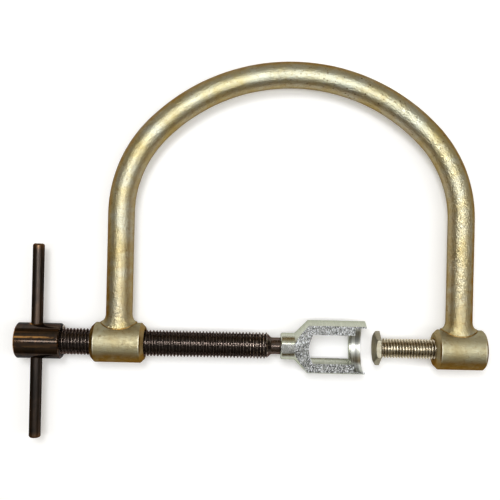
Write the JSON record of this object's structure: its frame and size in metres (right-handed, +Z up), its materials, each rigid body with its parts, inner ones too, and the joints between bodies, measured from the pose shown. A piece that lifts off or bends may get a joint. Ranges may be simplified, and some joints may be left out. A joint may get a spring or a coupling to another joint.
{
  "type": "valve spring compressor",
  "caption": "Bow-shaped hand clamp whose lead screw pushes a swivelling open cage on to a valve spring retainer while a screwed anvil holds the valve head.",
  "frame": {"origin": "on the screw axis, at the floor of the retainer seat in the spring cage", "axes": "+X along the screw towards the anvil, +Y towards the crown of the bow, +Z up as the tool lies on a bench"},
  "size_m": [0.281, 0.23, 0.028],
  "materials": {
    "gold_plate": "champagne gold lacquer over steel, semi-gloss with fine speckle and brown stains",
    "black_oxide": "black oxide, lightly oiled, worn brown on edges",
    "spring_wire": "plain spring steel wire",
    "bright_zinc": "bright zinc over turned and milled steel",
    "nickel_bolt": "warm nickel-plated steel"
  },
  "bodies": {
    "frame": {"bow_rod": "gold_plate", "screw_boss": "gold_plate", "screw_boss_weld": "gold_plate", "anvil_boss": "gold_plate", "anvil_boss_weld": "gold_plate"},
    "swivel": {"swivel_ring": "spring_wire"},
    "screw": {"lead_screw": "black_oxide", "handle_head": "black_oxide", "head_key": "black_oxide", "tommy_bar": "black_oxide"},
    "cage": {"spring_cage": "bright_zinc"},
    "anvil": {"anvil_bolt": "nickel_bolt"}
  },
  "joints": [
    {"name": "screw_advance", "type": "slide", "parent": "frame", "child": "swivel", "axis": [1, 0, 0], "range_m": [-0.0801, 0.0051]},
    {"name": "screw_turn", "type": "hinge", "parent": "swivel", "child": "screw", "pos_m": [0, 0, 0], "axis": [1, 0, 0], "range_deg": [-14400, 900]},
    {"name": "cage_swivel", "type": "hinge", "parent": "swivel", "child": "cage", "pos_m": [0, 0, 0], "axis": [1, 0, 0], "continuous": true},
    {"name": "anvil_adjust", "type": "slide", "parent": "frame", "child": "anvil", "axis": [1, 0, 0], "range_m": [0, 0.03]}
  ],
  "couplings": [
    {"joint": "screw_advance", "follows": "screw_turn", "m_per_rad": 0.00031831}
  ]
}
